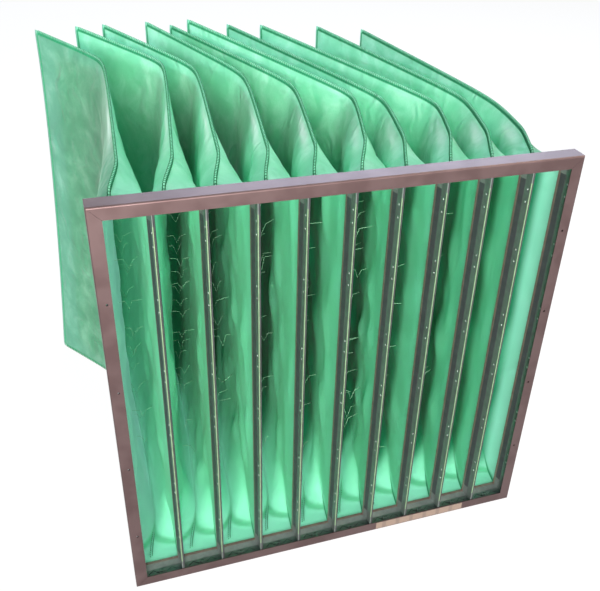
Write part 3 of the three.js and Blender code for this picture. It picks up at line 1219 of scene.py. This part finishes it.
    def spacers(self) -> bpy.types.Object:
        """String the slack spacer threads between the two walls.

        Each thread runs from wall to wall and sags to a low point between them,
        so it shows as a V or a lopsided W.

        Returns:
            The bag's spacer threads.
        """
        shape = self.shape
        paths = []
        rows = np.arange(shape.mouth_bottom + 50, shape.mouth_top - 40, self.row_pitch)
        for height in rows:
            for depth in np.arange(0.5, 0.9, 0.13) * shape.knee:
                y = depth + self.random.uniform(-20.0, 20.0)
                z = height + self.random.uniform(-7.0, 7.0)
                half = float(shape.half_at(np.array([y]))[0]) - shape.media - 1.6
                if half < 4 or self.random.uniform() < 0.3:
                    continue
                low = np.clip((shape.mouth_top - z) / (shape.mouth_top - shape.mouth_bottom), 0, 1)
                along = (y - shape.seat_end) / (shape.tail - shape.seam_flange - shape.seat_end)
                middle = float(shape.plan(np.array([y]))[0])
                middle += self.x - shape.splay * along ** 2 * low ** shape.splay_curve
                sag = self.random.uniform(12.0, 24.0)
                tilt = self.random.uniform(-0.35, 0.35)
                hang = self.random.uniform(4.0, 6.5)
                across = np.clip(
                    np.array([-half, tilt * half - hang, tilt * half, tilt * half + hang, half]),
                    -half, half,
                )
                drop = np.array([0.0, 0.1, 1.0, 0.15, 0.0]) * sag
                stray = self.random.uniform(-4.0, 4.0, 5)
                paths.append(np.stack([middle + across, y + stray, z - drop], axis=-1))
        points, faces = tubes(np.array(paths), self.thread_radius, (0.0, 1.0, 0.0))
        return add_object(f"spacer_threads_{self.label}", points, faces, self.spacer_thread)

    def build(self) -> None:
        """Make the bag's pieces and say what each one is."""
        cloth = self.cloth()
        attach(cloth, "root")
        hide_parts(f"filter_bag_{self.label}")
        LOG.info("%s: %d faces", cloth.name, len(cloth.data.polygons))
        for piece in (self.stitches(), self.spacers()):
            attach(piece, "root")
            LOG.info("%s: %d faces", piece.name, len(piece.data.polygons))


@dataclass
class PocketFrames:
    """The ten crimped pocket frames, with the pressed dots that clinch them."""

    strip: bpy.types.Material
    pressed: bpy.types.Material
    groove: bpy.types.Material
    sizes: HeaderSizes = field(default_factory=HeaderSizes)
    dot_radius: float = 1.7
    dot_height: float = 0.7
    pair_pitch: float = 17.0
    pair_heights: tuple[float, ...] = (543.0, 458.0, 357.0, 272.0, 170.0, 83.0)
    dot_depth: float = -4.5
    groove_radius: float = 0.6
    groove_step: float = 6.5

    def dress(self) -> None:
        """Give the model's pocket frames their finish."""
        for number in range(1, self.sizes.pockets + 1):
            node = bpy.data.objects[f"pocket_frame_{number:02d}"]
            node.data.materials.clear()
            node.data.materials.append(self.strip)

    def clinches(self, number: int) -> bpy.types.Object:
        """Press two rows of low domes into the flat legs of one frame.

        A dome is a part of a sphere: height falls with the square of the radius,
        on a grid of rings and spokes, closed by a base in the sheet.

        Args:
            number: The pocket's number, from 1 at the left.

        Returns:
            The domes of both legs.
        """
        spokes, rings = 10, 3
        turn = np.arange(spokes) * 2 * math.pi / spokes
        radius = np.linspace(1.0, 0.25, rings)
        out = self.dot_radius * radius[:, None] * np.cos(turn)
        up = self.dot_radius * radius[:, None] * np.sin(turn)
        height = self.dot_height * (1 - radius[:, None] ** 2) * np.ones(spokes)
        number_grid = np.arange(rings * spokes).reshape(rings, spokes)
        nearby = np.roll(number_grid, -1, axis=1)
        walls = np.stack(
            [number_grid[:-1], nearby[:-1], nearby[1:], number_grid[1:]], axis=-1,
        ).reshape(-1, 4)
        x = self.sizes.pocket_x(number)
        leg = self.sizes.half_width - 2 * self.sizes.frame_sheet - self.sizes.hem_gap
        points, faces, count = [], [], 0
        for pair in self.pair_heights:
            for offset in (-self.pair_pitch / 2, self.pair_pitch / 2):
                for side in (-1.0, 1.0):
                    dome = np.stack([
                        x + side * (leg - height),
                        self.dot_depth + out,
                        pair + offset + up * side,
                    ], axis=-1).reshape(-1, 3)
                    tip = np.array([[
                        x + side * (leg - self.dot_height), self.dot_depth, pair + offset,
                    ]])
                    base = np.array([[x + side * (leg + 0.2), self.dot_depth, pair + offset]])
                    points.append(np.concatenate([dome, tip, base]))
                    last = number_grid[-1]
                    first = number_grid[0]
                    top = np.stack([
                        last, np.roll(last, -1), np.full(spokes, rings * spokes),
                    ], axis=-1)
                    foot = np.stack([
                        np.roll(first, -1), first, np.full(spokes, rings * spokes + 1),
                    ], axis=-1)
                    faces += (walls + count).tolist() + (top + count).tolist()
                    faces += (foot + count).tolist()
                    count += rings * spokes + 2
        mesh = bpy.data.meshes.new(f"clinches_{number:02d}")
        mesh.from_pydata((np.concatenate(points) * MM).tolist(), [], faces)
        mesh.polygons.foreach_set("use_smooth", np.full(len(mesh.polygons), True))
        mesh.materials.append(self.pressed)
        mesh.update()
        piece = bpy.data.objects.new(mesh.name, mesh)
        bpy.context.scene.collection.objects.link(piece)
        return piece

    def crimp_mark(self, number: int) -> bpy.types.Object:
        """Draw the zigzag that the crimping tool leaves on a frame's lower leg, dark with painted
        shade.

        Seven corners step evenly across the leg, and lie in turn near its front
        and near its back.

        Args:
            number: The pocket's number, from 1 at the left.

        Returns:
            The mark.
        """
        step = np.arange(7) - 3
        rise = self.sizes.frame_margin + 2 * self.sizes.frame_sheet + self.sizes.hem_gap
        path = np.stack([
            self.sizes.pocket_x(number) + step * self.groove_step,
            self.dot_depth + 1.5 + 2.6 * (-1.0) ** step,
            np.full(7, rise + 0.1),
        ], axis=-1)
        points, faces = tubes(path[None], self.groove_radius, (0.0, 0.0, 1.0))
        return add_object(f"crimp_mark_{number:02d}", points, faces, self.groove, smooth=False)

    def build(self) -> None:
        """Dress the frames, and add their clinches and crimp marks."""
        self.dress()
        for number in range(1, self.sizes.pockets + 1):
            for piece in (self.clinches(number), self.crimp_mark(number)):
                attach(piece, "root")
                LOG.info("%s: %d faces", piece.name, len(piece.data.polygons))


@dataclass
class Header:
    """The four mitred rails, and the bare sticker on the lower one."""

    sheet: bpy.types.Material
    paper: bpy.types.Material
    sizes: HeaderSizes = field(default_factory=HeaderSizes)
    sticker: tuple[float, float] = (66.0, 212.0)
    sticker_rim: float = 1.2
    sticker_sheet: float = 0.15

    def build(self) -> None:
        """Dress the rails and lay the sticker on."""
        for name in ("top_rail", "right_rail", "bottom_rail", "left_rail"):
            node = bpy.data.objects[name]
            node.data.materials.clear()
            node.data.materials.append(self.sheet)
        piece = self.sticker_sheet_piece()
        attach(piece, "root")
        LOG.info("%s: %d faces", piece.name, len(piece.data.polygons))

    def sticker_sheet_piece(self) -> bpy.types.Object:
        """Lay a thin paper on the lower rail's face, as a flat closed box.

        Returns:
            The sticker.
        """
        left, right = self.sticker
        low = 2.2
        high = self.sizes.front_flange - self.sticker_rim
        face = self.sizes.front
        corners = np.array([[left, low], [right, low], [right, high], [left, high]])
        front = np.column_stack([corners[:, 0], np.full(4, face - self.sticker_sheet), corners[:, 1]])
        back = np.column_stack([corners[:, 0], np.full(4, face - 0.02), corners[:, 1]])
        points = np.concatenate([front, back])
        faces = np.array([
            [0, 1, 2, 3], [7, 6, 5, 4], [0, 4, 5, 1], [1, 5, 6, 2], [2, 6, 7, 3], [3, 7, 4, 0],
        ])
        return add_object("sticker", points, faces, self.paper, smooth=False)


class Lamp(Enum):
    """The studio's soft lamps: place, width and height in metres, power in watts, colour."""

    FRONT = ((-0.9, -3.0, 1.05), (1.4, 1.4), 275.0, "#fffbf6")
    FILL = ((1.4, -2.7, 1.1), (1.8, 1.8), 40.0, "#fff6ee")
    LEFT = ((-1.1, 0.3, 2.0), (0.6, 0.6), 8.0, "#fff9f0")
    SKY = ((1.3, 2.9, 2.0), (3.4, 0.8), 66.0, "#cfe2ff")
    SUN = ((1.5, -0.4, 2.6), (1.2, 1.2), 34.0, "#fff2d8")


@dataclass
class Studio:
    """Camera, floor, lamps and world."""

    place: tuple[float, float, float] = (-0.3042, -0.7584, 0.9494)
    turn: float = 19.49
    tilt: float = 32.19
    roll: float = 2.36
    lens: float = 46.97
    shift: tuple[float, float] = (-0.0339, -0.0067)
    aim: tuple[float, float, float] = (0.0, 0.25, 0.3)
    world_level: float = 0.65

    def camera(self) -> None:
        """Set the camera at the photograph's viewing angle."""
        data = bpy.data.cameras.new("camera")
        data.sensor_width = 36.0
        data.lens = self.lens
        data.shift_x, data.shift_y = self.shift
        data.clip_start = 0.01
        camera = bpy.data.objects.new("camera", data)
        camera.matrix_world = (
            Matrix.Translation(self.place)
            @ Matrix.Rotation(-math.radians(self.turn), 4, "Z")
            @ Matrix.Rotation(math.radians(90 - self.tilt), 4, "X")
            @ Matrix.Rotation(math.radians(self.roll), 4, "Z")
        )
        bpy.context.scene.collection.objects.link(camera)
        bpy.context.scene.camera = camera

    def lamps(self) -> None:
        """Hang the soft lamps, each turned to the filter's middle."""
        for lamp in Lamp:
            place, (width, height), power, colour = lamp.value
            data = bpy.data.lights.new(lamp.name.lower(), "AREA")
            data.shape = "ELLIPSE"
            data.size = width
            data.size_y = height
            data.energy = power
            data.color = linear(colour)[:3]
            light = bpy.data.objects.new(data.name, data)
            light.location = place
            aim = Vector(self.aim) - Vector(place)
            light.rotation_euler = aim.to_track_quat("-Z", "Y").to_euler()
            bpy.context.scene.collection.objects.link(light)

    def world(self) -> None:
        """Light the room evenly, and show plain white behind the object."""
        world = bpy.data.worlds.new("room")
        world.use_nodes = True
        bpy.context.scene.world = world
        tree = world.node_tree
        tree.nodes.clear()
        room = add_node(
            tree, "ShaderNodeBackground",
            values={"Color": linear("#dbe7fa"), "Strength": self.world_level},
        )
        white = add_node(
            tree, "ShaderNodeBackground", values={"Color": (1, 1, 1, 1), "Strength": 1.0},
        )
        mixed = add_node(
            tree, "ShaderNodeMixShader",
            {0: backdrop_rays(tree), 1: room.outputs[0], 2: white.outputs[0]},
        )
        output = add_node(tree, "ShaderNodeOutputWorld")
        tree.links.new(mixed.outputs[0], output.inputs["Surface"])

    def floor(self) -> None:
        """Lay the pale floor that the filter stands on."""
        reach = 9000.0
        corners = np.array([[-reach, -reach, 0.0], [reach, -reach, 0.0],
                            [reach, reach, 0.0], [-reach, reach, 0.0]])
        floor = add_object(
            "floor", corners, np.array([[0, 1, 2, 3]]), FloorPaint().build(), smooth=False,
        )

    def build(self) -> None:
        """Set up everything around the filter."""
        self.camera()
        self.lamps()
        self.world()
        self.floor()
        bpy.context.scene.view_settings.view_transform = "Standard"


def main() -> None:
    """Build the filter's pieces and the studio around them."""
    logging.basicConfig(level=logging.INFO, format="%(message)s")
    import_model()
    Studio().build()
    sheet = GalvanisedSheet().build()
    strip = CrimpedStrip().build()
    media = FilterMedia().build()
    overlock = Thread("overlock_thread", "#1b7d55").build()
    spacer = Thread("spacer_thread", "#a8e6bd").build()
    Header(sheet, StickerPaper().build()).build()
    pressed = GalvanisedSheet(name="pressed_zinc", dark="#b4bdb8", light="#c2cbc6").build()
    # Painted shade: the crimp marks are dark for the shadow in their grooves.
    groove = GalvanisedSheet(name="pressed_groove", dark="#3c4a46", light="#46544f").build()
    PocketFrames(strip, pressed, groove).build()
    for number in range(1, HeaderSizes().pockets + 1):
        FilterBag(number, media, overlock, spacer).build()


if __name__ == "__main__":
    main()
